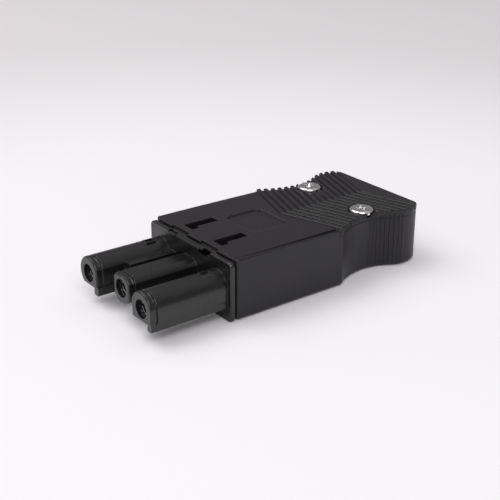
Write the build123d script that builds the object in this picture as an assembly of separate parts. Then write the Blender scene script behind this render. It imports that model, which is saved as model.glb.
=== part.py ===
from build123d import *
import os
from math import sqrt

# Sizes in mm. While a piece is drawn, x = 0 is the front face of the housing,
# y = 0 its middle and z = 0 its underside. x grows towards the cable, z upwards.
HOUSING_W = 30.4
HOUSING_H = 13.4
STRAIGHT_L = 28.6
WAIST_RUN = 9.7
GRIP_L = 14.3
WAIST_DEPTH = 3.15
BULGE_INSET = 0.2
BULGE_BACK = 4.34
BULGE_R = 6.8
REAR_CORNER_R = 1.8
FLOOR_T = 1.4
WALL_T = 1.6
RIM_T = 0.9
RIM_FALL = 0.4
RIM_BACK = 1.0
COVER_T = 1.6
COVER_FRONT = -0.2
SLIDE_GAP = 0.1
SEAM_GAP = 0.06

# Mating side: three fingers with their own key shapes.
POLES = (("far", 1), ("mid", 0), ("near", -1))
POLE_EDGE = 4.6
AXIS_LIFT = 0.05
REACH = 20.1
MID_SETBACK = 1.7
FINGER_R = 3.62
FINGER_FLOOR = 2.84
FAR_FLAT = 3.3
MID_R = 3.5
MID_FLAT = 2.95
MID_SIDE = 3.1
RING_L = 1.1
GROOVE_L = 0.5
GROOVE_DEPTH = 0.17
NOSE_ROUND = 0.35
BODY_ROUND = 0.2
FIN_IN = 1.94
FAR_FIN_OUT = 3.62
FAR_FIN_FALL = 4.3
NEAR_FIN_OUT = 3.5
NEAR_FIN_FALL = 4.1
FIN_TOP_FALL = 2.35
KEY_RIB_W = 2.25
KEY_RIB_RISE = 1.95
KEY_RIB_H = 3.6
KEY_RIB_SETBACK = 7.0
CATCH_X = -6.4
CATCH_L = 2.3
CATCH_W = 1.9
CATCH_WALL = 0.3
CATCH_H = 0.22
CATCH_SHIFT = 0.5
MOUTH_R = 2.02
MOUTH_L = 1.7
SLEEVE_SETBACK = 1.25
SLEEVE_BORE_R = 2.25

# Flange and the recess behind it.
FLANGE_FRONT = -1.62
FLANGE_REAR = -0.55
FLANGE_DROP = 0.4
FLANGE_BELOW = 0.45
FLANGE_RIM = 0.9
FLANGE_R = 1.1
RECESS_X = -0.95
TAB_PROUD = 0.55
NOTCH_W = 3.0
NOTCH_BACK = -0.75
INSERT_REAR = 20.0
INSERT_WALL = 0.8
CAVITY_X = 2.7

# Latch windows.
LATCH_Y = 5.5
LATCH_W = 2.7
TONGUE_HALF = 3.0
WINDOW_X0 = 1.95
WINDOW_STEP_X = 4.0
WINDOW_W = 3.2
WINDOW_RUN_W = 2.4
WINDOW_SHIFT = 0.6
WINDOW_X1 = 9.6
LABEL_GAP = 1.9
LABEL_BACK = 2.4
LABEL_W = 11.0
LABEL_R = 1.6
LABEL_DEPTH = 0.25

# Grip ribs.
RIB_COUNT = 14
RIB_W = 1.05
RIB_LEAN = 4.9
RIB_LAST_BACK = 6.15
RIB_ABOVE = 0.15
RIB_VALLEY = 0.3
RIB_OVERHANG = 0.18
LINE_COUNT = 9
LINE_PITCH = 0.95
LINE_R = 0.32

# Cover screws and cable clamp.
SCREW_BACK = 0.9
SCREW_EDGE = 2.85
SCREW_R = 1.5
HEAD_R = 2.75
HEAD_H = 1.5
HEAD_ABOVE = 0.55
HEAD_ROUND = 0.5
HEAD_GAP = 0.2
BOSS_R = 3.0
BOSS_H = 1.6
SCREW_FOOT = 2.05
CABLE_LIFT = 0.15
SADDLE_CROWN = 0.75
SADDLE_CHEEK = 1.45
SADDLE_REACH = 2.65
CLAMP_L = 6.4
TOOTH_H = 0.4

# Wire terminals.
CHAMBER_X0 = 8.4
CHAMBER_X1 = 18.5
CHAMBER_HALF = 2.8
BOX_X0 = 10.0
BOX_L = 7.0
BOX_ROOF_T = 1.6
WIRE_W = 3.6
WIRE_SPARE = 0.3
BOX_BASE_T = 0.6
TAIL_T = 0.7
PLATE_T = 0.5
CLAMP_R = 1.5
CLAMP_FIT = 0.05
CLAMP_HEAD_R = 2.3
CLAMP_HEAD_H = 1.45
CLAMP_HEAD_LOW = 0.15
CLAMP_HEAD_ROOM = 0.6
CLAMP_SLOT_W = 0.8
CLAMP_SLOT_H = 0.8
SLEEVE_R = 1.8
SLEEVE_BORE = 1.45
SLEEVE_SLOT_L = 9.0
SLEEVE_SLOT_W = 0.4
TAIL_HALF = 1.45
COLLAR_X = 3.0
SPRING_BACK = 3.2
SPRING_L = 5.0
SPRING_T = 0.29
SPRING_GAP = 0.04

HALF_W = HOUSING_W / 2
WAIST_X = STRAIGHT_L + WAIST_RUN
HOUSING_L = WAIST_X + GRIP_L
RIM_END = STRAIGHT_L - RIM_BACK
WAIST_HALF = HALF_W - WAIST_DEPTH
BULGE_HALF = HALF_W - BULGE_INSET
BULGE_X = HOUSING_L - BULGE_BACK
FLANGE_HALF = HALF_W
PITCH = HALF_W - POLE_EDGE
SCREW_X = WAIST_X + SCREW_BACK
SCREW_Y = WAIST_HALF - SCREW_EDGE
PAD_R = HEAD_R + 2 * HEAD_GAP
RIB_FIRST_X = STRAIGHT_L - RIB_LEAN
RIB_LAST_X = HOUSING_L - RIB_LAST_BACK
RIB_PITCH = (RIB_LAST_X - RIB_FIRST_X) / (RIB_COUNT - 1)
LABEL_X0 = WINDOW_X1 + LABEL_GAP
LABEL_X1 = RIB_FIRST_X - LABEL_BACK
PART_Z = HOUSING_H - COVER_T
COVER_HALF = HALF_W - RIM_T - SLIDE_GAP
INSERT_HALF = HALF_W - RIM_T - SLIDE_GAP
INSERT_Z0 = FLOOR_T + SLIDE_GAP
INSERT_Z1 = PART_Z - SLIDE_GAP
FRONT_BAY = INSERT_REAR + SLIDE_GAP
TOTAL_L = REACH + HOUSING_L
AXIS_Z = HOUSING_H / 2 + AXIS_LIFT
FLANGE_TOP_Z = HOUSING_H - FLANGE_BELOW
CABLE_ROOM_Z = (PART_Z - SADDLE_CROWN - FLOOR_T - CABLE_LIFT) / 2
CABLE_ROOM_Y = SCREW_Y - BOSS_R - SADDLE_CHEEK
CABLE_R = min(CABLE_ROOM_Z, CABLE_ROOM_Y)
CABLE_Z = FLOOR_T + CABLE_LIFT + CABLE_ROOM_Z
LEDGE_Z = CABLE_Z + CABLE_R - SADDLE_REACH
CLAMP_X = BOX_X0 + BOX_L / 2
BOX_Z0 = INSERT_Z0 + INSERT_WALL + SLIDE_GAP
WIRE_Z0 = BOX_Z0 + BOX_BASE_T
TAIL_Z0 = WIRE_Z0 + CLAMP_FIT
CLAMP_STACK = TAIL_Z0 + TAIL_T + CLAMP_FIT + PLATE_T + WIRE_SPARE + BOX_ROOF_T
HEAD_STACK = CLAMP_HEAD_LOW + CLAMP_HEAD_H + CLAMP_HEAD_ROOM
CLAMP_TRAVEL = (PART_Z - CLAMP_STACK - HEAD_STACK) / 2
PLATE_Z1 = TAIL_Z0 + TAIL_T + CLAMP_FIT + CLAMP_TRAVEL + PLATE_T
WIRE_Z1 = PLATE_Z1 + WIRE_SPARE
WIRE_H = WIRE_Z1 - WIRE_Z0
BOX_TOP = WIRE_Z1 + BOX_ROOF_T
HEAD_SEAT_Z = HOUSING_H + HEAD_ABOVE - HEAD_H
SCREW_L = HEAD_SEAT_Z - FLOOR_T - SCREW_FOOT
TO_ORIGIN = Pos(REACH - TOTAL_L / 2, 0, FLANGE_DROP)


def block(x0, x1, y0, y1, z0, z1):
    """A box given by its limits."""
    size = Box(x1 - x0, y1 - y0, z1 - z0)
    return Pos((x0 + x1) / 2, (y0 + y1) / 2, (z0 + z1) / 2) * size


def rod(x0, x1, y, z, radius):
    """A round bar along x."""
    bar = Cylinder(radius, x1 - x0, rotation=(0, 90, 0))
    return Pos((x0 + x1) / 2, y, z) * bar


def post(x, y, z0, z1, radius):
    """A round bar along z."""
    return Pos(x, y, (z0 + z1) / 2) * Cylinder(radius, z1 - z0)


def waist_arcs():
    """Centres and radii of the three arcs of the waist, on the +y side."""
    rise = HALF_W - WAIST_HALF
    run = WAIST_X - STRAIGHT_L
    entry_r = (run**2 + rise**2) / (2 * rise)
    entry = (WAIST_X, WAIST_HALF + entry_r, entry_r)
    swell = BULGE_HALF - WAIST_HALF
    leave_r = (BULGE_X - WAIST_X) ** 2 / (2 * swell) - BULGE_R + swell / 2
    leave = (WAIST_X, WAIST_HALF + leave_r, leave_r)
    return entry, leave, (BULGE_X, BULGE_HALF - BULGE_R, BULGE_R)


def side_y(x):
    """Half width of the housing at a given x."""
    entry, leave, bulge = waist_arcs()
    if x <= STRAIGHT_L:
        return HALF_W
    if x <= WAIST_X:
        return entry[1] - sqrt(entry[2] ** 2 - (x - entry[0]) ** 2)
    share = leave[2] / (leave[2] + bulge[2])
    if x <= leave[0] + share * (bulge[0] - leave[0]):
        return leave[1] - sqrt(leave[2] ** 2 - (x - leave[0]) ** 2)
    return bulge[1] + sqrt(bulge[2] ** 2 - (x - bulge[0]) ** 2)


def plan_outline(inset=0.0):
    """Plan of the housing: straight front, hollow waist, round bulge, flat end."""
    entry, leave, bulge = waist_arcs()
    share = leave[2] / (leave[2] + bulge[2])
    join_x = leave[0] + share * (bulge[0] - leave[0])
    middle = (STRAIGHT_L + WAIST_X) / 2
    exit_middle = (WAIST_X + join_x) / 2
    p = [
        (0, HALF_W),
        (STRAIGHT_L, HALF_W),
        (WAIST_X, WAIST_HALF),
        (join_x, side_y(join_x)),
        (HOUSING_L, side_y(HOUSING_L)),
    ]
    upper = [
        Line((0, 0), p[0]),
        Line(p[0], p[1]),
        ThreePointArc(p[1], (middle, side_y(middle)), p[2]),
        ThreePointArc(p[2], (exit_middle, side_y(exit_middle)), p[3]),
        ThreePointArc(p[3], (bulge[0], BULGE_HALF), p[4]),
        Line(p[4], (HOUSING_L, 0)),
    ]
    half = make_face(upper + [Line((HOUSING_L, 0), (0, 0))])
    face = half + mirror(half, about=Plane.XZ)
    corners = face.vertices().filter_by(lambda v: v.X > HOUSING_L - 0.1)
    face = fillet(corners, REAR_CORNER_R)
    if inset:
        corner = Kind.INTERSECTION if inset > 0 else Kind.ARC
        face = offset(face, amount=-inset, kind=corner)
    return face


def plan_solid(inset, z0, z1):
    return Pos(0, 0, z0) * extrude(plan_outline(inset), z1 - z0)


def grip_lines(z0, z1):
    """Fine upright ridges on both sides of the bulge."""
    lines = []
    for n in range(LINE_COUNT):
        x = WAIST_X + 1.2 + n * LINE_PITCH
        for side in (1, -1):
            y = side * (side_y(x) - 0.4 * LINE_R)
            lines.append(post(x, y, z0, z1, LINE_R))
    return lines


def lower_shell():
    """Tub with a thin rim at the front, a hollow waist and screw bosses."""
    shell = plan_solid(0, 0, PART_Z)
    shell += block(0, STRAIGHT_L, -HALF_W, HALF_W, 0, HOUSING_H)
    shell = fillet(shell.edges().filter_by(Axis.Z).group_by(Axis.X)[0], 0.6)
    shell = fillet(shell.edges().group_by(Axis.Z)[0], 0.5)
    top = shell.faces().sort_by(Axis.Z)[-1]
    long_edges = top.edges().filter_by(Axis.X)
    shell = fillet(long_edges, 0.35)
    for line in grip_lines(0.6, PART_Z - SEAM_GAP):
        shell += line
    inner = HALF_W - RIM_T
    shell -= block(-1, FRONT_BAY, -inner, inner, FLOOR_T, HOUSING_H + 1)
    shell -= block(FRONT_BAY - 1, STRAIGHT_L, -inner, inner, PART_Z - SEAM_GAP, HOUSING_H + 1)
    hollow = plan_solid(WALL_T, FLOOR_T, PART_Z + 1)
    shell -= hollow & block(FRONT_BAY + 1.2, HOUSING_L, -HALF_W, HALF_W, 0, HOUSING_H)
    passage = LATCH_Y + PITCH / 2
    shell -= block(FRONT_BAY - 1, FRONT_BAY + 2, -passage, passage, FLOOR_T + 1.2, PART_Z + 1)
    start = (0, HOUSING_H)
    end = (STRAIGHT_L, HOUSING_H)
    wedge = Polyline(start, end, (STRAIGHT_L, HOUSING_H - RIM_FALL), start)
    wedge = extrude(Plane.XZ * make_face(wedge), HALF_W + 1, both=True)
    shell -= wedge
    shell -= block(RIM_END, HOUSING_L, -HALF_W, HALF_W, PART_Z - SEAM_GAP, HOUSING_H + 1)
    bosses = post(SCREW_X, SCREW_Y, FLOOR_T / 2, PART_Z - SEAM_GAP, BOSS_R)
    bosses += post(SCREW_X, -SCREW_Y, FLOOR_T / 2, PART_Z - SEAM_GAP, BOSS_R)
    shell += bosses & plan_solid(WALL_T / 2, 0, PART_Z)
    sunk = plan_solid(WALL_T - BOSS_R / 6, PART_Z - BOSS_H - SLIDE_GAP, PART_Z + 1)
    for side in (1, -1):
        y = side * SCREW_Y
        shell -= post(SCREW_X, y, 0, PART_Z + 1, BOSS_R + SLIDE_GAP) & sunk
        shell -= post(SCREW_X, y, HEAD_SEAT_Z - SCREW_L - 1, PART_Z, SCREW_R + 0.02)
        ledge_y = SCREW_Y - BOSS_R - 0.4
        ledge = block(
            SCREW_X - 2.2, SCREW_X + 2.2, ledge_y - 1.0, ledge_y + 1.2, FLOOR_T / 2, LEDGE_Z
        )
        shell += ledge if side > 0 else mirror(ledge, about=Plane.XZ)
    for shift in (-2.0, 2.0):
        x = SCREW_X + shift
        tooth = block(x - 0.5, x + 0.5, -CABLE_R - 0.6, CABLE_R + 0.6, FLOOR_T / 2, FLOOR_T + 2.4)
        shell += tooth - rod(x - 1, x + 1, 0, CABLE_Z, CABLE_R - TOOTH_H)
    shell -= rod(HOUSING_L - 2 * WALL_T, HOUSING_L + 1, 0, CABLE_Z, CABLE_R)
    shell -= block(HOUSING_L - 2 * WALL_T, HOUSING_L + 1, -CABLE_R, CABLE_R, CABLE_Z, HOUSING_H)
    return shell


def chevron(apex_x, z0, z1, width):
    """A bar folded in the middle, its point towards the mating side."""
    reach = HALF_W + 1
    back = RIB_LEAN / HALF_W * reach
    w = width / 2
    shape = Polyline(
        (apex_x - w, 0),
        (apex_x - w + back, reach),
        (apex_x + w + back, reach),
        (apex_x + w, 0),
        (apex_x + w + back, -reach),
        (apex_x - w + back, -reach),
        (apex_x - w, 0),
    )
    return Pos(0, 0, z0) * extrude(make_face(shape), z1 - z0)


def grip_ribs():
    """The row of chevron ridges, trimmed to the plan and cleared at the screws."""
    top = HOUSING_H + RIB_ABOVE
    rib = chevron(RIB_FIRST_X, PART_Z + 0.7, top, RIB_W)
    upper = rib.faces().sort_by(Axis.Z)[-1].edges()
    rib = fillet(upper.filter_by(lambda e: abs(e.center().Y) < HALF_W), 0.3)
    full_x = RIM_END + SLIDE_GAP
    limit = plan_solid(-RIB_OVERHANG, 0, HOUSING_H + 2)
    limit &= block(full_x, HOUSING_L + 1, -HOUSING_W, HOUSING_W, 0, 2 * HOUSING_H)
    limit += block(LABEL_X1, full_x, -COVER_HALF, COVER_HALF, 0, HOUSING_H + 2)
    ribs = []
    for n in range(RIB_COUNT):
        one = (Pos(n * RIB_PITCH, 0, 0) * rib) & limit
        for side in (1, -1):
            one -= post(SCREW_X, side * SCREW_Y, 0, 2 * HOUSING_H, PAD_R)
        ribs.append(one)
    return ribs


def window(y):
    """Latch window: a wide mouth and a narrower run behind it."""
    wide = WINDOW_W / 2
    mouth = block(WINDOW_X0, WINDOW_STEP_X, y - wide, y + wide, PART_Z - 1, HOUSING_H + 1)
    low = y + WINDOW_SHIFT - WINDOW_RUN_W / 2
    run = block(WINDOW_X0, WINDOW_X1, low, low + WINDOW_RUN_W, PART_Z - 1, HOUSING_H + 1)
    return mouth + run


def upper_shell():
    """Cover plate: windows, label recess, grip ribs, screw pads and cable arch."""
    full_x = RIM_END + SLIDE_GAP
    rear = block(full_x, HOUSING_L + 1, -HOUSING_W, HOUSING_W, 0, 2 * HOUSING_H)
    cover = block(COVER_FRONT, full_x, -COVER_HALF, COVER_HALF, PART_Z, HOUSING_H)
    cover += plan_solid(0, PART_Z, HOUSING_H) & rear
    for line in grip_lines(PART_Z, HOUSING_H - 0.5):
        cover += line
    band = RIB_LAST_X - RIB_FIRST_X + 2 * RIB_W
    middle = (RIB_FIRST_X + RIB_LAST_X) / 2
    cover -= chevron(middle, HOUSING_H - RIB_VALLEY, HOUSING_H + 1, band)
    for rib in grip_ribs():
        cover += rib
    low = PART_Z - BOSS_H
    bosses = plan_solid(WALL_T - BOSS_R / 6 + SLIDE_GAP, low, PART_Z + 0.1)
    for side in (1, -1):
        y = side * SCREW_Y
        cover += post(SCREW_X, y, low, PART_Z + 0.1, BOSS_R) & bosses
        cover -= post(SCREW_X, y, HOUSING_H - RIB_VALLEY, HOUSING_H + 1, PAD_R)
        cover -= post(SCREW_X, y, HEAD_SEAT_Z, HOUSING_H + 1, HEAD_R + HEAD_GAP)
        cover -= post(SCREW_X, y, low - 1, HOUSING_H, SCREW_R + 0.15)
        cover -= window(side * LATCH_Y)
        low_y = side * LATCH_Y - TONGUE_HALF - 0.15
        high_y = side * LATCH_Y + TONGUE_HALF + 0.15
        cover -= block(COVER_FRONT - 1, 0.5, low_y, high_y, PART_Z - 1, HOUSING_H + 1)
    label = RectangleRounded(LABEL_X1 - LABEL_X0, LABEL_W, LABEL_R)
    label = extrude(label, 2 * LABEL_DEPTH)
    cover -= Pos((LABEL_X0 + LABEL_X1) / 2, 0, HOUSING_H - LABEL_DEPTH) * label
    arch_x = HOUSING_L - WALL_T
    arch_y = CABLE_R - SLIDE_GAP
    cover += block(arch_x, HOUSING_L - 0.02, -arch_y, arch_y, CABLE_Z, PART_Z + 0.2)
    cover -= rod(arch_x - 1, HOUSING_L + 1, 0, CABLE_Z, CABLE_R)
    return cover


def patch(y0, y1, z0, z1):
    """A flat rectangle given by its limits across and up."""
    return Pos((y0 + y1) / 2, (z0 + z1) / 2) * Rectangle(y1 - y0, z1 - z0)


def finger_section(name, less=0.0):
    """Cross-section of a finger about its axis. Each pole is flattened in its own way."""
    r = FINGER_R - less
    floor = FINGER_FLOOR - less
    if name == "mid":
        r = MID_R - less
        flat = MID_FLAT - less
        shape = Circle(r) & patch(less - MID_SIDE, flat, -r, flat)
        return fillet(shape.vertices(), 0.3)
    if name == "far":
        out = FAR_FLAT - less
        shape = (Circle(r) + patch(-r, 0, -r, 0)) & patch(-out, r, -floor, r)
        sharp = shape.vertices().filter_by(lambda v: v.X < 0)
        return fillet(sharp, 0.4)
    shape = (Circle(r) + patch(-r, r, -r, 0)) & patch(-r, r, -floor, r)
    low = shape.vertices().filter_by(lambda v: v.Y < -floor / 2).sort_by(lambda v: v.X)
    shape = fillet(low[0], 0.7)
    low = shape.vertices().filter_by(lambda v: v.Y < -floor / 2).sort_by(lambda v: v.X)
    return fillet(low[-1], 0.2)


def bar_along(section, x0, x1, rounding=0.0):
    """A cross-section drawn out along x, its front edges rounded if asked."""
    bar = extrude(Plane.YZ.offset(x0) * section, x1 - x0)
    if rounding:
        bar = fillet(bar.faces().sort_by(Axis.X)[0].edges(), rounding)
    return bar


def finger(name, side):
    """One insulating finger: nose ring, groove, keyed body, and a fin on the outer two."""
    y = side * PITCH
    tip = -REACH + (MID_SETBACK if side == 0 else 0)
    body_x = tip + RING_L + GROOVE_L
    piece = bar_along(finger_section(name), tip, tip + RING_L, NOSE_ROUND)
    piece += bar_along(finger_section(name, GROOVE_DEPTH), tip + RING_L / 2, body_x + 0.3)
    piece += bar_along(finger_section(name), body_x, CAVITY_X + 0.3, BODY_ROUND)
    piece = Pos(0, y, AXIS_Z) * piece
    if side:
        out = FAR_FIN_OUT if name == "far" else NEAR_FIN_OUT
        low = AXIS_Z - (FAR_FIN_FALL if name == "far" else NEAR_FIN_FALL)
        fin = block(tip + 0.15, CAVITY_X, y - out, y - FIN_IN, low, AXIS_Z - FIN_TOP_FALL)
        piece += fillet(fin.edges().group_by(Axis.Z)[0].filter_by(Axis.X), 0.25)
        catch_y = y - CATCH_SHIFT
        crown = AXIS_Z + FINGER_R
        end_x = CATCH_X + CATCH_L
        half = CATCH_W / 2
        piece += block(CATCH_X, end_x, catch_y - half, catch_y + half, crown - 1, crown + CATCH_H)
        half -= CATCH_WALL
        front = CATCH_X + CATCH_WALL
        piece -= block(front, end_x + 0.1, catch_y - half, catch_y + half, crown - 0.15, crown + 1)
    if name == "far":
        edge = y - FAR_FLAT
        top = AXIS_Z + KEY_RIB_RISE
        front = tip + KEY_RIB_SETBACK
        piece += block(front, CAVITY_X, edge - KEY_RIB_W, edge + 0.3, top - KEY_RIB_H, top)
    return piece


def contact_insert():
    """Mating face with flange, recess, three fingers and three wire chambers."""
    height = FLANGE_TOP_Z + FLANGE_DROP
    middle = (FLANGE_TOP_Z - FLANGE_DROP) / 2
    ring = RectangleRounded(2 * FLANGE_HALF, height, FLANGE_R)
    ring = extrude(Plane.YZ.offset(FLANGE_FRONT) * (Pos(0, middle) * ring), FLANGE_REAR - FLANGE_FRONT)
    ring = chamfer(ring.faces().sort_by(Axis.X)[0].edges(), 0.2)
    insert = ring + block(FLANGE_REAR - 0.1, INSERT_REAR, -INSERT_HALF, INSERT_HALF, INSERT_Z0, INSERT_Z1)
    half = LATCH_Y - 1
    front = FLANGE_FRONT - TAB_PROUD
    low = FLANGE_TOP_Z - FLANGE_RIM
    insert += block(front, RECESS_X, -half, half, low, FLANGE_TOP_Z)
    for side in (1, -1):
        y = side * LATCH_Y
        half = TONGUE_HALF
        insert += block(RECESS_X, 0.4, y - half, y + half, INSERT_Z1 - 0.1, FLANGE_TOP_Z)
    inner = 2 * (FLANGE_HALF - FLANGE_RIM)
    recess = RectangleRounded(inner, height - 2 * FLANGE_RIM, 0.6)
    recess = Plane.YZ.offset(FLANGE_FRONT) * (Pos(0, middle) * recess)
    insert -= extrude(recess, RECESS_X - FLANGE_FRONT)
    wall = INSERT_WALL
    half = INSERT_HALF - wall
    insert -= block(RECESS_X - 0.1, CAVITY_X, -half, half, INSERT_Z0 + wall, INSERT_Z1 - wall)
    for side in (1, -1):
        y = side * LATCH_Y
        low = y - LATCH_W / 2
        high = y + LATCH_W / 2
        roof = INSERT_Z1 - wall - 0.1
        notch_y = side * (LATCH_Y + NOTCH_W / 2 - 0.5)
        notch = block(
            FLANGE_FRONT - 1, NOTCH_BACK, notch_y - NOTCH_W / 2, notch_y + NOTCH_W / 2,
            roof, FLANGE_TOP_Z + 1,
        )
        insert -= notch
        insert -= block(FLANGE_FRONT - 1, CAVITY_X, low, high, roof, FLANGE_TOP_Z - 0.45)
        insert -= block(CAVITY_X - 0.1, WINDOW_X1 + 0.1, low, high, AXIS_Z, INSERT_Z1 + 0.2)
    for name, side in POLES:
        insert += finger(name, side)
    for name, side in POLES:
        y = side * PITCH
        tip = -REACH + (MID_SETBACK if side == 0 else 0)
        insert -= rod(tip - 1, tip + MOUTH_L + 0.1, y, AXIS_Z, MOUTH_R)
        insert -= rod(tip + MOUTH_L, CHAMBER_X0 + 0.1, y, AXIS_Z, SLEEVE_BORE_R)
        low = y - CHAMBER_HALF
        high = y + CHAMBER_HALF
        insert -= block(CHAMBER_X0, CHAMBER_X1, low, high, BOX_Z0 - SLIDE_GAP, INSERT_Z1 + 1)
        funnel = rod(CHAMBER_X1 - 0.1, INSERT_REAR + 0.1, y, WIRE_Z0 + WIRE_H / 2, WIRE_W / 2)
        insert -= funnel
    return insert


def socket_contact(side):
    """Slotted sleeve with a collar and a tail that reaches under the clamp screw."""
    y = side * PITCH
    front = -REACH + (MID_SETBACK if side == 0 else 0) + SLEEVE_SETBACK
    end_x = CHAMBER_X0 - 0.9
    sleeve = rod(front, COLLAR_X + 0.1, y, AXIS_Z, SLEEVE_R)
    sleeve += rod(COLLAR_X, end_x, y, AXIS_Z, SLEEVE_BORE_R - 0.03)
    sleeve -= rod(front - 1, COLLAR_X + 2, y, AXIS_Z, SLEEVE_BORE)
    slot = SLEEVE_SLOT_W / 2
    slot_x = front + SLEEVE_SLOT_L
    wide = 2 * SLEEVE_R
    sleeve -= block(front - 1, slot_x, y - slot, y + slot, AXIS_Z - wide, AXIS_Z + wide)
    sleeve -= block(front - 1, slot_x, y - wide, y + wide, AXIS_Z - slot, AXIS_Z + slot)
    high = AXIS_Z - sqrt(SLEEVE_BORE_R**2 - TAIL_HALF**2) + 0.1
    low = TAIL_Z0
    profile = Polyline(
        (end_x - 0.5, high),
        (CHAMBER_X0 + 0.2, high),
        (BOX_X0 - 0.4, low),
        (BOX_X0 + BOX_L - 0.4, low),
        (BOX_X0 + BOX_L - 0.4, low + TAIL_T),
        (BOX_X0 - 0.1, low + TAIL_T),
        (CHAMBER_X0 + 0.5, high + TAIL_T),
        (end_x - 0.5, high + TAIL_T),
        (end_x - 0.5, high),
    )
    tail = extrude(Plane.XZ * make_face(profile), TAIL_HALF, both=True)
    return sleeve + Pos(0, y, 0) * tail


def contact_spring(side):
    """Split steel ring that presses the sleeve's tongues on the pin."""
    y = side * PITCH
    front = -REACH + (MID_SETBACK if side == 0 else 0) + SPRING_BACK
    end_x = front + SPRING_L
    inner = SLEEVE_R + SPRING_GAP
    ring = rod(front, end_x, y, AXIS_Z, inner + SPRING_T)
    ring -= rod(front - 1, end_x + 1, y, AXIS_Z, inner)
    split = SPRING_T
    ring -= block(front - 1, end_x + 1, y - split, y + split, AXIS_Z, AXIS_Z + 2 * inner)
    return ring


def clamp_box(side):
    """Terminal box with a wire tunnel and the hole of its clamp screw."""
    y = side * PITCH
    half = CHAMBER_HALF - 0.12
    box = block(BOX_X0, BOX_X0 + BOX_L, y - half, y + half, BOX_Z0, BOX_TOP)
    box = chamfer(box.edges(), 0.25)
    tunnel = Pos(y, WIRE_Z0 + WIRE_H / 2) * RectangleRounded(WIRE_W, WIRE_H, 0.4)
    box -= extrude(Plane.YZ.offset(BOX_X0 - 1) * tunnel, BOX_L + 2)
    box -= post(CLAMP_X, y, WIRE_Z0 + 1, BOX_TOP + 1, CLAMP_R + CLAMP_FIT)
    return box


def terminal_screw(side):
    """Slotted clamp screw, drawn raised so that a wire can go in."""
    y = side * PITCH
    tip_z = PLATE_Z1 + CLAMP_FIT
    head_z = BOX_TOP + CLAMP_TRAVEL + CLAMP_HEAD_LOW
    screw = post(CLAMP_X, y, tip_z, head_z + 0.1, CLAMP_R)
    screw = chamfer(screw.faces().sort_by(Axis.Z)[0].edges(), 0.3)
    head = post(CLAMP_X, y, head_z, head_z + CLAMP_HEAD_H, CLAMP_HEAD_R)
    head = chamfer(head.edges().filter_by(GeomType.CIRCLE).group_by(Axis.Z)[-1], 0.2)
    half = CLAMP_SLOT_W / 2
    long = CLAMP_HEAD_R + 1
    top = head_z + CLAMP_HEAD_H
    head -= block(CLAMP_X - long, CLAMP_X + long, y - half, y + half, top - CLAMP_SLOT_H, top + 1)
    return screw + head


def pressure_plate(side):
    """Small plate under the clamp screw that spreads its force over the strands."""
    y = side * PITCH
    half = WIRE_W / 2 - 0.12
    plate = block(CLAMP_X - 2.6, CLAMP_X + 2.6, y - half, y + half, PLATE_Z1 - PLATE_T, PLATE_Z1)
    return fillet(plate.edges().filter_by(Axis.Y), 0.2)


def cover_screw(side):
    """Pan head screw with a cross recess."""
    y = side * SCREW_Y
    top = HEAD_SEAT_Z + HEAD_H
    head = post(SCREW_X, y, HEAD_SEAT_Z, top, HEAD_R)
    head = fillet(head.edges().filter_by(GeomType.CIRCLE).group_by(Axis.Z)[-1], HEAD_ROUND)
    shank = post(SCREW_X, y, HEAD_SEAT_Z - SCREW_L, HEAD_SEAT_Z + 0.1, SCREW_R)
    shank = chamfer(shank.faces().sort_by(Axis.Z)[0].edges(), 0.6)
    length = 1.1 * HEAD_R
    depth = 1.5 * HEAD_H
    cross = Box(0.28 * HEAD_R, length, depth) + Box(length, 0.28 * HEAD_R, depth)
    turn = Pos(SCREW_X, y, top) * Rot(0, 0, 35 if side > 0 else -20)
    return head + shank - turn * cross


def cable_clamp():
    """Saddle that the cover presses on the cable, with two teeth."""
    half = SCREW_Y - BOSS_R - 0.2
    low = LEDGE_Z + SEAM_GAP
    front = SCREW_X - CLAMP_L / 2
    saddle = block(front, front + CLAMP_L, -half, half, low, PART_Z - SLIDE_GAP)
    saddle = fillet(saddle.edges().filter_by(Axis.Z), 0.5)
    saddle -= rod(front - 1, front + CLAMP_L + 1, 0, CABLE_Z, CABLE_R)
    for shift in (-1.6, 1.6):
        x = SCREW_X + shift
        tooth = rod(x - 0.4, x + 0.4, 0, CABLE_Z, CABLE_R + 0.3)
        tooth -= rod(x - 1, x + 1, 0, CABLE_Z, CABLE_R - TOOTH_H)
        saddle += tooth & block(x - 1, x + 1, -half, half, low, PART_Z - 0.2)
    return saddle


def pieces():
    """Every node of the part by name."""
    made = {
        "lower_shell": lower_shell(),
        "upper_shell": upper_shell(),
        "contact_insert": contact_insert(),
        "cable_clamp": cable_clamp(),
        "cover_screw_far": cover_screw(1),
        "cover_screw_near": cover_screw(-1),
    }
    for name, side in POLES:
        made[f"socket_contact_{name}"] = socket_contact(side)
        made[f"contact_spring_{name}"] = contact_spring(side)
        made[f"clamp_box_{name}"] = clamp_box(side)
        made[f"terminal_screw_{name}"] = terminal_screw(side)
        made[f"pressure_plate_{name}"] = pressure_plate(side)
    return made


os.makedirs("parts", exist_ok=True)
for node, shape in pieces().items():
    export_step(TO_ORIGIN * shape, f"parts/{node}.step")
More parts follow.
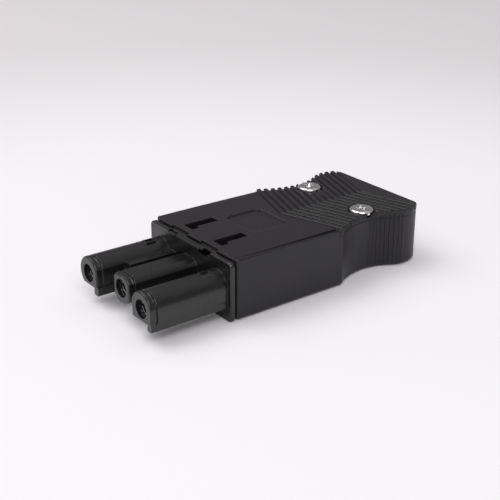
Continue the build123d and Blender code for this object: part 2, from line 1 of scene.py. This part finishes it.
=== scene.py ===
import math
import bmesh
import bpy
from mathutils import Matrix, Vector


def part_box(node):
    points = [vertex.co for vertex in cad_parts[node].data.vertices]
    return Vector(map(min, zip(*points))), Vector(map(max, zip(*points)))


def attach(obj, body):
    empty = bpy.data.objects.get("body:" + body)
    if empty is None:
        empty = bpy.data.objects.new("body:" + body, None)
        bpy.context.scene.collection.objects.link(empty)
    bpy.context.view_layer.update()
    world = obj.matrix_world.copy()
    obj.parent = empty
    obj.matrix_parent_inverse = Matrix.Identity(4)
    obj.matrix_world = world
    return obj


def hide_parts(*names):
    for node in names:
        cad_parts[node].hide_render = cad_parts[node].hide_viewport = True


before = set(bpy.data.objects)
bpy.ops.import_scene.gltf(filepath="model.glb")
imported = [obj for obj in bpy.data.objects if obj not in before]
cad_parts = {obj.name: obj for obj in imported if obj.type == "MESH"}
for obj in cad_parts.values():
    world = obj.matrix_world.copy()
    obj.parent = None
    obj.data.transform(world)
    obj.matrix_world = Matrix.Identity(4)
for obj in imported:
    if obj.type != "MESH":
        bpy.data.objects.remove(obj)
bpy.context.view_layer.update()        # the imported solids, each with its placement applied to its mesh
scene = bpy.context.scene
mm = 0.001


class Wire:
    # one output socket; an operator on it adds a Math node
    def __init__(self, sheet, socket):
        self.sheet = sheet
        self.socket = socket

    def math(self, operation, *values):
        inputs = {n: value for n, value in enumerate(values)}
        return self.sheet.node("ShaderNodeMath", {"operation": operation}, inputs)

    def __add__(self, other):
        return self.math("ADD", self, other)

    def __radd__(self, other):
        return self.math("ADD", other, self)

    def __sub__(self, other):
        return self.math("SUBTRACT", self, other)

    def __rsub__(self, other):
        return self.math("SUBTRACT", other, self)

    def __mul__(self, other):
        return self.math("MULTIPLY", self, other)

    def __rmul__(self, other):
        return self.math("MULTIPLY", other, self)

    def step(self, low, high, start=0.0, end=1.0):
        # a smooth ramp from start to end between two levels
        return self.sheet.node(
            "ShaderNodeMapRange",
            {"interpolation_type": "SMOOTHSTEP"},
            {"Value": self, "From Min": low, "From Max": high, "To Min": start, "To Max": end},
        )


class Sheet:
    # the node tree of one material or of the world
    def __init__(self, owner):
        owner.use_nodes = True
        self.owner = owner
        self.tree = owner.node_tree
        self.tree.nodes.clear()

    def node(self, kind, settings=None, inputs=None, output=0):
        made = self.tree.nodes.new(kind)
        for key, value in (settings or {}).items():
            if key == "stops":
                ramp = made.color_ramp
                while len(ramp.elements) < len(value):
                    ramp.elements.new(0.5)
                for element, (position, colour) in zip(ramp.elements, value):
                    element.position = position
                    element.color = colour
            else:
                setattr(made, key, value)
        for key, value in (inputs or {}).items():
            if isinstance(value, Wire):
                self.tree.links.new(value.socket, made.inputs[key])
            else:
                made.inputs[key].default_value = value
        return Wire(self, made.outputs[output])

    def place(self):
        return self.node("ShaderNodeTexCoord", output="Object")

    def noise(self, vector, scale, detail=2.0, roughness=0.5):
        inputs = {"Vector": vector, "Scale": scale, "Detail": detail, "Roughness": roughness}
        return self.node("ShaderNodeTexNoise", None, inputs)

    def rings(self, vector, scale, distortion=0.0):
        settings = {"wave_type": "RINGS", "rings_direction": "Z"}
        inputs = {"Vector": vector, "Scale": scale, "Distortion": distortion}
        return self.node("ShaderNodeTexWave", settings, inputs, output="Fac")

    def tint(self, factor, first, second):
        # mixes two colours
        settings = {"data_type": "RGBA"}
        return self.node("ShaderNodeMix", settings, {0: factor, 6: first, 7: second}, output=2)

    def vector(self, operation, *values, output=0):
        inputs = {n: value for n, value in enumerate(values)}
        return self.node("ShaderNodeVectorMath", {"operation": operation}, inputs, output)

    def axis(self, vector, name):
        return self.node("ShaderNodeSeparateXYZ", None, {0: vector}, output=name)

    def softNormal(self, radius):
        # the surface normal, rounded off at the edges
        return self.node("ShaderNodeBevel", {"samples": 6}, {"Radius": radius})

    def edge(self, rounded, gain):
        # 0 on a flat face, rising to 1 on an edge
        flat = self.node("ShaderNodeNewGeometry", output="Normal")
        same = self.vector("DOT_PRODUCT", rounded, flat, output="Value")
        return ((1.0 - same) * gain).step(0.0, 1.0)

    def bump(self, height, distance, strength, normal):
        inputs = {"Height": height, "Distance": distance, "Strength": strength, "Normal": normal}
        return self.node("ShaderNodeBump", None, inputs)

    def finish(self, shader):
        world = isinstance(self.owner, bpy.types.World)
        last = self.tree.nodes.new("ShaderNodeOutputWorld" if world else "ShaderNodeOutputMaterial")
        self.tree.links.new(shader.socket, last.inputs["Surface"])
        return self.owner


def newSheet(name):
    return Sheet(bpy.data.materials.new(name))


shellLook = {
    "dark": (0.0115, 0.0102, 0.0116, 1),
    # the lighter tone: painted sheen on the edges, and random scuffs
    "sheenScuffTone": (0.036, 0.036, 0.037, 1),
    "roughness": 0.42,
    "specular": 0.43,
    "edgeRadius": 0.18 * mm,
    "grainScale": 5200,
    "grainDepth": 0.012 * mm,
    "grainStrength": 0.45,
}

# the cover's ribs are shaded rounder and softer than the tub's edges, which also widens their painted edge
# sheen
coverLook = dict(shellLook, edgeRadius=0.42 * mm, roughness=0.38)

fingerLook = {
    "dark": (0.0080, 0.0080, 0.0083, 1),
    # the lighter tone: painted sheen on the edges, and random scuffs
    "sheenScuffTone": (0.020, 0.020, 0.021, 1),
    "roughness": 0.28,
    "specular": 0.60,
    "edgeRadius": 0.15 * mm,
    "grainScale": 7600,
    "grainDepth": 0.005 * mm,
    "grainStrength": 0.30,
}


# shared by the three plastics
plasticSheenAndWear = {
    # how strongly the edges are painted lighter as a sheen
    "edgeGain": 2.6,
    "cloudScale": 95,
    "coarseGrain": 0.22,      # share of the fine grain's scale
    "scuffScale": 900,
    "scuffFrom": 0.56,
    "scuffFull": 0.74,
    "scuffShare": 0.05,
}


def mouldedPlastic(name, look):
    # fine spark-eroded grain, faint cloudiness, a few random scuffs, and edges a little smoother with a
    # painted sheen lightening their colour
    sharedLook = plasticSheenAndWear
    sheet = newSheet(name)
    place = sheet.place()
    rounded = sheet.softNormal(look["edgeRadius"])
    edge = sheet.edge(rounded, sharedLook["edgeGain"])
    cloud = sheet.noise(place, sharedLook["cloudScale"], 3.0, 0.55)
    grain = sheet.noise(place, look["grainScale"], 2.0, 0.6)
    coarse = sheet.noise(place, look["grainScale"] * sharedLook["coarseGrain"], 2.0, 0.5)
    scuff = sheet.noise(place, sharedLook["scuffScale"], 4.0, 0.7)
    scuff = scuff.step(sharedLook["scuffFrom"], sharedLook["scuffFull"])
    # painted highlight: edges are painted lighter as a sheen; the scuff spots are random wear
    sheenAndScuff = edge * (0.35 + cloud * 0.5) + scuff * sharedLook["scuffShare"]
    colour = sheet.tint(sheenAndScuff, look["dark"], look["sheenScuffTone"])
    rough = look["roughness"] + (cloud - 0.5) * 0.16 + (grain - 0.5) * 0.10 - edge * 0.06
    height = grain * 0.7 + coarse * 0.6
    normal = sheet.bump(height, look["grainDepth"], look["grainStrength"], rounded)
    shader = sheet.node("ShaderNodeBsdfPrincipled", None, {
        "Base Color": colour,
        "Roughness": rough,
        "Specular IOR Level": look["specular"],
        "IOR": 1.5,
        "Normal": normal,
    })
    return sheet.finish(shader)


metalLooks = {
    "zincSteel": {
        "base": (0.80, 0.80, 0.79, 1),
        "stain": (0.56, 0.57, 0.58, 1),
        "roughness": 0.20,
        "lines": 9000,
    },
    "clampBrass": {
        "base": (0.78, 0.63, 0.34, 1),
        "stain": (0.52, 0.38, 0.19, 1),
        "roughness": 0.30,
        "lines": 4200,
    },
    "platedContact": {
        "base": (0.86, 0.85, 0.82, 1),
        "stain": (0.66, 0.63, 0.57, 1),
        "roughness": 0.18,
        "lines": 5200,
    },
    "springSteel": {
        "base": (0.60, 0.60, 0.60, 1),
        "stain": (0.38, 0.38, 0.40, 1),
        "roughness": 0.34,
        "lines": 6500,
    },
}

# shared by the four metals above
metalWear = {
    "stretch": (0.18, 1.0, 1.0),
    "edgeRadius": 0.06 * mm,
    "cloudScale": 420,
    "pitScale": 3100,
    "reliefDepth": 0.006 * mm,
    "reliefStrength": 0.35,
}


def brightMetal(name, look):
    # drawn or pressed metal: fine lines, slight clouding, small pits
    sharedLook = metalWear
    sheet = newSheet(name)
    place = sheet.place()
    stretched = sheet.vector("MULTIPLY", place, sharedLook["stretch"])
    rounded = sheet.softNormal(sharedLook["edgeRadius"])
    lines = sheet.noise(stretched, look["lines"], 3.0, 0.6)
    cloud = sheet.noise(place, sharedLook["cloudScale"], 4.0, 0.6)
    pits = sheet.noise(place, sharedLook["pitScale"], 3.0, 0.6).step(0.60, 0.72)
    colour = sheet.tint(cloud.step(0.38, 0.68) * 0.55 + pits * 0.25, look["base"], look["stain"])
    rough = look["roughness"] + (cloud - 0.5) * 0.22 + (lines - 0.5) * 0.12
    relief = lines + pits * 0.6
    normal = sheet.bump(relief, sharedLook["reliefDepth"], sharedLook["reliefStrength"], rounded)
    shader = sheet.node("ShaderNodeBsdfPrincipled", None, {
        "Base Color": colour,
        "Metallic": 1.0,
        "Roughness": rough,
        "Normal": normal,
    })
    return sheet.finish(shader)


turnedLook = {
    "base": (0.86, 0.86, 0.85, 1),
    "stain": (0.50, 0.51, 0.53, 1),
    "roughness": 0.17,
    "edgeRadius": 0.07 * mm,
    "ringScale": 900,
    "cloudScale": 520,
    "fleckScale": 2600,
    "reliefDepth": 0.010 * mm,
    "reliefStrength": 0.5,
}


def turnedZinc(name, look, place):
    # bright plating with fine turning lines, faint clouds and small flecks
    sheet = newSheet(name)
    spot = sheet.node("ShaderNodeMapping", None, {"Vector": sheet.place(), "Location": [-v for v in place]})
    rounded = sheet.softNormal(look["edgeRadius"])
    turning = sheet.rings(spot, look["ringScale"], 0.4)
    cloud = sheet.noise(spot, look["cloudScale"], 4.0, 0.6)
    fleck = sheet.noise(spot, look["fleckScale"], 3.0, 0.6).step(0.57, 0.70)
    colour = sheet.tint(cloud.step(0.40, 0.66) * 0.5 + fleck * 0.35, look["base"], look["stain"])
    rough = look["roughness"] + (cloud - 0.5) * 0.24
    relief = turning * 0.8 + fleck * 0.5
    normal = sheet.bump(relief, look["reliefDepth"], look["reliefStrength"], rounded)
    shader = sheet.node("ShaderNodeBsdfPrincipled", None, {
        "Base Color": colour,
        "Metallic": 1.0,
        "Roughness": rough,
        "Normal": normal,
    })
    return sheet.finish(shader)


shellPlastic = mouldedPlastic("shellPlastic", shellLook)
coverPlastic = mouldedPlastic("coverPlastic", coverLook)
fingerPlastic = mouldedPlastic("fingerPlastic", fingerLook)
metals = {name: brightMetal(name, look) for name, look in metalLooks.items()}

finishOf = {
    "lower_shell": shellPlastic,
    "upper_shell": coverPlastic,
    "contact_insert": fingerPlastic,
    "cable_clamp": fingerPlastic,
    "cover_screw": metals["zincSteel"],
    "terminal_screw": metals["zincSteel"],
    "socket_contact": metals["platedContact"],
    "contact_spring": metals["springSteel"],
    "pressure_plate": metals["springSteel"],
    "clamp_box": metals["clampBrass"],
}
for node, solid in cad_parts.items():
    kind = node if node in finishOf else node.rsplit("_", 1)[0]
    solid.data.materials.clear()
    solid.data.materials.append(finishOf[kind])
print("finishes made:", len(bpy.data.materials))


# lengths in millimetres, angles in degrees
coverScrew = {
    "headRadius": 2.75,
    "headHeight": 1.5,
    "crownRound": 0.55,
    "crownRise": 0.12,
    "roundSteps": 8,
    "underBevel": 0.5,
    "neckFillet": 0.12,
    "shankRadius": 1.5,
    "shankLength": 9.0,
    "threadPitch": 0.5,
    "threadDepth": 0.27,
    "plainNeck": 0.8,
    "pointLength": 1.0,
    "tipHeight": 0.02,
    "tipShare": 0.45,         # of the shank's radius
    "sides": 64,
    "stepsPerTurn": 6,
    "recessReach": 1.62,
    "recessWidth": 0.78,
    "recessDepth": 1.15,
    "recessTaper": 0.62,
    "cutterSpare": 0.2,
    "sharpAngle": 40,
    "turns": {"cover_screw_far": 35.0, "cover_screw_near": -20.0},
}


def screwMesh(values):
    # a pan head and a threaded shank, its head's underside at z = 0
    sides = values["sides"]
    rise = values["crownRise"]
    rounding = values["crownRound"]
    headR = values["headRadius"]
    shankR = values["shankRadius"]
    top = values["headHeight"]
    steps = values["roundSteps"]
    fillet = values["neckFillet"]
    rows = []                 # height, radius and depth of thread
    for share in (0.25, 0.5, 0.75, 1.0):
        rows.append((top - rise * (share ** 2), share * (headR - rounding), 0.0))
    for n in range(1, steps + 1):
        turn = math.pi / 2 * n / steps
        out = headR - rounding + rounding * math.sin(turn)
        down = top - rise - rounding * (1 - math.cos(turn))
        rows.append((down, out, 0.0))
    rows += [
        (values["underBevel"], headR, 0.0),
        (0.0, headR - values["underBevel"], 0.0),
        (0.0, shankR + fillet, 0.0),
        (-fillet, shankR, 0.0),
        (-values["plainNeck"], shankR, 0.0),
    ]
    length = values["shankLength"] - values["pointLength"] - values["plainNeck"]
    count = round(length / values["threadPitch"] * values["stepsPerTurn"])
    for n in range(1, count + 1):
        share = min(1.0, n / values["stepsPerTurn"])
        rows.append((-values["plainNeck"] - length * n / count, shankR, values["threadDepth"] * share))
    end = -values["shankLength"]
    rows.append((end + values["tipHeight"], shankR * values["tipShare"], 0.0))
    work = bmesh.new()
    rings = []
    for z, radius, depth in rows:
        ring = []
        for n in range(sides):
            angle = 2 * math.pi * n / sides
            phase = (z / values["threadPitch"] + n / sides) % 1.0
            r = radius - depth * (1 - abs(2 * phase - 1))
            ring.append(work.verts.new((r * math.cos(angle) * mm, r * math.sin(angle) * mm, z * mm)))
        rings.append(ring)
    for upper, lower in zip(rings, rings[1:]):
        for n in range(sides):
            m = (n + 1) % sides
            work.faces.new((upper[n], lower[n], lower[m], upper[m]))
    crown = work.verts.new((0, 0, top * mm))
    tip = work.verts.new((0, 0, end * mm))
    for n in range(sides):
        m = (n + 1) % sides
        work.faces.new((crown, rings[0][n], rings[0][m]))
        work.faces.new((tip, rings[-1][m], rings[-1][n]))
    bmesh.ops.recalc_face_normals(work, faces=work.faces)
    mesh = bpy.data.meshes.new("screwBlank")
    work.to_mesh(mesh)
    work.free()
    return mesh


def recessMesh(values):
    # two tapered bars crossed, wider at the mouth, which cut the drive recess
    top = values["headHeight"] + values["cutterSpare"]
    bottom = values["headHeight"] - values["recessDepth"]
    work = bmesh.new()
    for turned in (False, True):
        corners = []
        for z, share in ((bottom, values["recessTaper"]), (top, 1.0)):
            reach = values["recessReach"] * share
            half = values["recessWidth"] / 2 * share
            for x, y in ((-reach, -half), (reach, -half), (reach, half), (-reach, half)):
                x, y = (y, -x) if turned else (x, y)
                corners.append(work.verts.new((x * mm, y * mm, z * mm)))
        low, high = corners[:4], corners[4:]
        work.faces.new(low[::-1])
        work.faces.new(high)
        for n in range(4):
            m = (n + 1) % 4
            work.faces.new((low[n], low[m], high[m], high[n]))
    bmesh.ops.recalc_face_normals(work, faces=work.faces)
    mesh = bpy.data.meshes.new("recessCutter")
    work.to_mesh(mesh)
    work.free()
    return mesh


def linked(name, mesh):
    made = bpy.data.objects.new(name, mesh)
    scene.collection.objects.link(made)
    return made


def frozen(piece, name):
    # the evaluated piece as a plain mesh
    graph = bpy.context.evaluated_depsgraph_get()
    mesh = bpy.data.meshes.new_from_object(piece.evaluated_get(graph))
    mesh.name = name
    return mesh


def smoothed(piece, degrees):
    # smooth faces, with hard edges where the surface turns sharply
    for face in piece.data.polygons:
        face.use_smooth = True
    piece.data.set_sharp_from_angle(angle=math.radians(degrees))


def seatTree(name, material):
    # a row of points with a blank on each, turned about its own axis
    tree = bpy.data.node_groups.new(name, "GeometryNodeTree")
    face = tree.interface
    face.new_socket("Blank", in_out="INPUT", socket_type="NodeSocketGeometry")
    face.new_socket("Seat", in_out="INPUT", socket_type="NodeSocketVector")
    face.new_socket("Spacing", in_out="INPUT", socket_type="NodeSocketVector")
    face.new_socket("Count", in_out="INPUT", socket_type="NodeSocketInt")
    face.new_socket("First Turn", in_out="INPUT", socket_type="NodeSocketFloat")
    face.new_socket("Turn Step", in_out="INPUT", socket_type="NodeSocketFloat")
    face.new_socket("Screws", in_out="OUTPUT", socket_type="NodeSocketGeometry")

    def add(kind, **settings):
        made = tree.nodes.new(kind)
        for key, value in settings.items():
            setattr(made, key, value)
        return made

    given = add("NodeGroupInput")
    row = add("GeometryNodeMeshLine", mode="OFFSET")
    index = add("GeometryNodeInputIndex")
    turn = add("ShaderNodeMath", operation="MULTIPLY_ADD")
    spin = add("ShaderNodeCombineXYZ")
    place = add("GeometryNodeInstanceOnPoints")
    real = add("GeometryNodeRealizeInstances")
    paint = add("GeometryNodeSetMaterial")
    paint.inputs["Material"].default_value = material
    out = add("NodeGroupOutput")
    for source, key, node, target in (
        (given, "Count", row, "Count"),
        (given, "Seat", row, "Start Location"),
        (given, "Spacing", row, "Offset"),
        (index, "Index", turn, 0),
        (given, "Turn Step", turn, 1),
        (given, "First Turn", turn, 2),
        (turn, "Value", spin, "Z"),
        (row, "Mesh", place, "Points"),
        (given, "Blank", place, "Instance"),
        (spin, "Vector", place, "Rotation"),
        (place, "Instances", real, "Geometry"),
        (real, "Geometry", paint, "Geometry"),
        (paint, "Geometry", out, "Screws"),
    ):
        tree.links.new(node.inputs[target], source.outputs[key])
    return tree


def setInputs(modifier, values):
    sockets = {item.name: item.identifier for item in modifier.node_group.interface.items_tree}
    for name, value in values.items():
        modifier[sockets[name]] = value


# the groove round each finger behind its nose ring, in millimetres
noseGroove = {
    "axisZ": 7.15,
    "poles": ((10.6, -36.35), (0.0, -34.65), (-10.6, -36.35)),     # middle and tip of each finger
    "reach": 4,               # half the space taken by one finger
    "weld": 1e-7,             # metres
    "ring": 1.1,
    "length": 0.5,
    "deepen": 0.2,
    "slack": 0.06,
}

# the flat web inside the flange's rim, with room for the fingers and the plug's two hooks,
# and the short lip beside the far latch, in millimetres
flangeWeb = {
    "depth": (-17.87, -17.25),
    "halfWidth": 14.35,
    "height": (0.85, 12.5),
    "fingerHole": 2.6,
    "holeSides": 48,
    "cutterSpare": 1,
    "hookMiddle": 5.5,
    "hookWidth": 2.7,
    "hookFloor": 11.9,
    "lipDepth": (-18.42, -17.8),
    "lipSpan": (4.3, 7.1),
    "lipHeight": (12.45, 13.35),
}


def boxInto(work, x, y, z):
    # a closed box between pairs of limits, in millimetres
    made = bmesh.ops.create_cube(work, size=1.0)["verts"]
    for vertex in made:
        for n, (low, high) in enumerate((x, y, z)):
            vertex.co[n] = (low if vertex.co[n] < 0 else high) * mm


def webMesh():
    # a plate with three round holes and two notches in its upper edge
    values = flangeWeb
    spare = values["cutterSpare"]
    half = values["halfWidth"]
    web = bmesh.new()
    boxInto(web, values["depth"], (-half, half), values["height"])
    plain = bpy.data.meshes.new("webPlain")
    web.to_mesh(plain)
    web.free()
    holes = bmesh.new()
    deep = (values["depth"][0] - spare, values["depth"][1] + spare)
    radius = values["fingerHole"] * mm
    for middle, _ in noseGroove["poles"]:
        made = bmesh.ops.create_cone(
            holes,
            cap_ends=True,
            segments=values["holeSides"],
            radius1=radius,
            radius2=radius,
            depth=(deep[1] - deep[0]) * mm,
        )["verts"]
        for vertex in made:
            across, up, along = vertex.co
            vertex.co = (along + sum(deep) / 2 * mm, across + middle * mm, up + noseGroove["axisZ"] * mm)
    reach = values["hookWidth"] / 2
    notch = (values["hookFloor"], values["height"][1] + spare)
    for side in (1, -1):
        middle = side * values["hookMiddle"]
        boxInto(holes, deep, (middle - reach, middle + reach), notch)
    bmesh.ops.recalc_face_normals(holes, faces=holes.faces)
    cutting = bpy.data.meshes.new("webHoles")
    holes.to_mesh(cutting)
    holes.free()
    plate = linked("webPlain", plain)
    cutter = linked("webHoles", cutting)
    cut = plate.modifiers.new("holes", "BOOLEAN")
    cut.operation = "DIFFERENCE"
    cut.solver = "EXACT"
    cut.object = cutter
    mesh = frozen(plate, "flangeWeb")
    for scrap in (plate, cutter):
        bpy.data.objects.remove(scrap)
    return mesh


def makeMatingInsert():
    # the fingers' moulded insert: the groove behind each nose gets its full depth,
    # and the flange gets its web and lip
    values = noseGroove
    work = bmesh.new()
    work.from_mesh(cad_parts["contact_insert"].data)
    bmesh.ops.remove_doubles(work, verts=work.verts, dist=values["weld"])
    moves = {}
    for middle, tip in values["poles"]:
        low = (tip + values["ring"] - values["slack"]) * mm
        high = (tip + values["ring"] + values["length"] + values["slack"]) * mm
        for vertex in work.verts:
            x, y, z = vertex.co
            if not low < x < high or abs(y - middle * mm) > values["reach"] * mm:
                continue
            neighbours = [edge.other_vert(vertex).co.x for edge in vertex.link_edges]
            if min(neighbours) < low or max(neighbours) > high:
                continue
            across = Vector((0.0, y - middle * mm, z - values["axisZ"] * mm))
            moves[vertex] = across.normalized() * values["deepen"] * mm
    for vertex, move in moves.items():
        vertex.co -= move
    work.from_mesh(webMesh())
    boxInto(work, flangeWeb["lipDepth"], flangeWeb["lipSpan"], flangeWeb["lipHeight"])
    mesh = bpy.data.meshes.new("matingInsert")
    work.to_mesh(mesh)
    work.free()
    mesh.materials.append(fingerPlastic)
    insert = linked("matingInsert", mesh)
    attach(insert, "housing")
    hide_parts("contact_insert")
    print("mating insert made:", len(moves), "points moved")


def makeCoverScrews():
    values = coverScrew
    far = [(a + b) / 2 for a, b in zip(*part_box("cover_screw_far"))]
    near = [(a + b) / 2 for a, b in zip(*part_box("cover_screw_near"))]
    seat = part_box("cover_screw_near")[1][2] - values["headHeight"] * mm
    finish = turnedZinc("turnedZinc", turnedLook, (0, 0, seat))
    blank = linked("screwBlank", screwMesh(values))
    cutter = linked("recessCutter", recessMesh(values))
    cut = blank.modifiers.new("recess", "BOOLEAN")
    cut.operation = "DIFFERENCE"
    cut.solver = "EXACT"
    cut.use_self = True
    cut.object = cutter
    turns = [math.radians(values["turns"][name]) for name in ("cover_screw_near", "cover_screw_far")]
    seated = blank.modifiers.new("seats", "NODES")
    seated.node_group = seatTree("coverScrewSeats", finish)
    setInputs(seated, {
        "Seat": (near[0], near[1], seat),
        "Spacing": (far[0] - near[0], far[1] - near[1], 0.0),
        "Count": 2,
        "First Turn": turns[0],
        "Turn Step": turns[1] - turns[0],
    })
    mesh = frozen(blank, "coverScrews")
    for scrap in (blank, cutter):
        bpy.data.objects.remove(scrap)
    screws = linked("coverScrews", mesh)
    smoothed(screws, values["sharpAngle"])
    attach(screws, "housing")
    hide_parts("cover_screw_far", "cover_screw_near")
    print("cover screws made:", len(mesh.polygons), "faces")


makeMatingInsert()
makeCoverScrews()

# lengths in metres, power in watts
studio = {
    "floorSize": 6.0,
    "floorRoughness": 0.75,
    "floorSpecular": 0.2,
    "speckScale": 60,
    "floorNear": (0.955, 0.948, 0.960, 1),
    # the darker colour far from the object is painted shade standing in for the lamps' falloff
    "floorFarShade": (0.80, 0.770, 0.777, 1),
    "nearDistance": 0.08,
    "farDistance": 0.26,
    "backdrop": (0.72, 0.69, 0.70, 1),
    "backdropFrom": 0.34,
    "backdropFull": 0.75,
    "sky": [
        (0.00, (0.46, 0.445, 0.46, 1)),
        (0.22, (0.225, 0.215, 0.225, 1)),
        (0.50, (0.225, 0.215, 0.225, 1)),
        (0.90, (0.56, 0.54, 0.56, 1)),
    ],
    "softbox": {
        "size": (0.95, 0.75),
        "power": 5.2,
        "place": (-0.36, 0.44, 0.88),
        "aim": (0.0, 0.0, 0.0),
    },
    "frontFill": {
        "size": (0.9, 0.7),
        "power": 7.4,
        "place": (-0.45, -0.85, 0.95),
        "aim": (0.0, 0.0, 0.01),
    },
}


def makeFloor():
    # a pale floor, painted darker away from the object as a painted falloff of light, that turns into an
    # even backdrop far from the object
    size = studio["floorSize"] / 2
    mesh = bpy.data.meshes.new("studioFloor")
    corners = [(-size, -size, 0), (size, -size, 0), (size, size, 0), (-size, size, 0)]
    mesh.from_pydata(corners, [], [(0, 1, 2, 3)])
    floor = linked("studioFloor", mesh)
    sheet = newSheet("paleFloor")
    away = sheet.vector("LENGTH", sheet.place(), output="Value")
    # painted light: the floor's colour darkens with distance from the object
    far = away.step(studio["nearDistance"], studio["farDistance"])
    speck = sheet.noise(sheet.place(), studio["speckScale"], 4.0, 0.6)
    colour = sheet.tint(far, studio["floorNear"], studio["floorFarShade"])
    lit = sheet.node("ShaderNodeBsdfPrincipled", None, {
        "Base Color": colour,
        "Roughness": studio["floorRoughness"] + (speck - 0.5) * 0.1,
        "Specular IOR Level": studio["floorSpecular"],
    })
    seen = sheet.node("ShaderNodeLightPath", output="Is Camera Ray")
    for ray in ("Is Glossy Ray", "Is Transmission Ray"):
        seen = seen.math("MAXIMUM", seen, sheet.node("ShaderNodeLightPath", output=ray))
    pale = sheet.node("ShaderNodeEmission", None, {"Color": studio["backdrop"], "Strength": 1.0})
    share = seen * away.step(studio["backdropFrom"], studio["backdropFull"])
    shader = sheet.node("ShaderNodeMixShader", None, {0: share, 1: lit, 2: pale})
    mesh.materials.append(sheet.finish(shader))


def makeWorld():
    # pale behind the floor's edge, darker above it and light again overhead
    world = bpy.data.worlds.new("studioSky")
    scene.world = world
    sheet = Sheet(world)
    direction = sheet.node("ShaderNodeTexCoord", output="Generated")
    height = sheet.axis(direction, "Z")
    colour = sheet.node("ShaderNodeValToRGB", {"stops": studio["sky"]}, {"Fac": height})
    sheet.finish(sheet.node("ShaderNodeBackground", None, {"Color": colour, "Strength": 1.0}))


def makeLamp(name):
    values = studio[name]
    light = bpy.data.lights.new(name, "AREA")
    light.shape = "RECTANGLE"
    light.size, light.size_y = values["size"]
    light.energy = values["power"]
    lamp = bpy.data.objects.new(name, light)
    lamp.location = values["place"]
    towards = Vector(values["aim"]) - Vector(values["place"])
    lamp.rotation_euler = towards.to_track_quat("-Z", "Y").to_euler()
    scene.collection.objects.link(lamp)


makeFloor()
makeWorld()
makeLamp("softbox")
makeLamp("frontFill")

# fitted to the photograph's straight edges; angles in degrees
cameraAt = {
    "place": (-129.054 * mm, -170.153 * mm, 99.618 * mm),
    "heading": 53.16962,
    "down": 23.52899,
    "lens": 75.1026,
    "sensorWidth": 36.0,
    "nearest": 0.01,
    "farthest": 20,
}


def makeCamera():
    heading = math.radians(cameraAt["heading"])
    down = math.radians(cameraAt["down"])
    flat = math.cos(down)
    look = Vector((math.cos(heading) * flat, math.sin(heading) * flat, -math.sin(down)))
    data = bpy.data.cameras.new("photoCamera")
    data.lens = cameraAt["lens"]
    data.sensor_width = cameraAt["sensorWidth"]
    data.clip_start = cameraAt["nearest"]
    data.clip_end = cameraAt["farthest"]
    camera = bpy.data.objects.new("photoCamera", data)
    camera.location = cameraAt["place"]
    camera.rotation_euler = look.to_track_quat("-Z", "Y").to_euler()
    scene.collection.objects.link(camera)
    scene.camera = camera


makeCamera()
scene.view_settings.view_transform = "Standard"
print("studio and camera made")
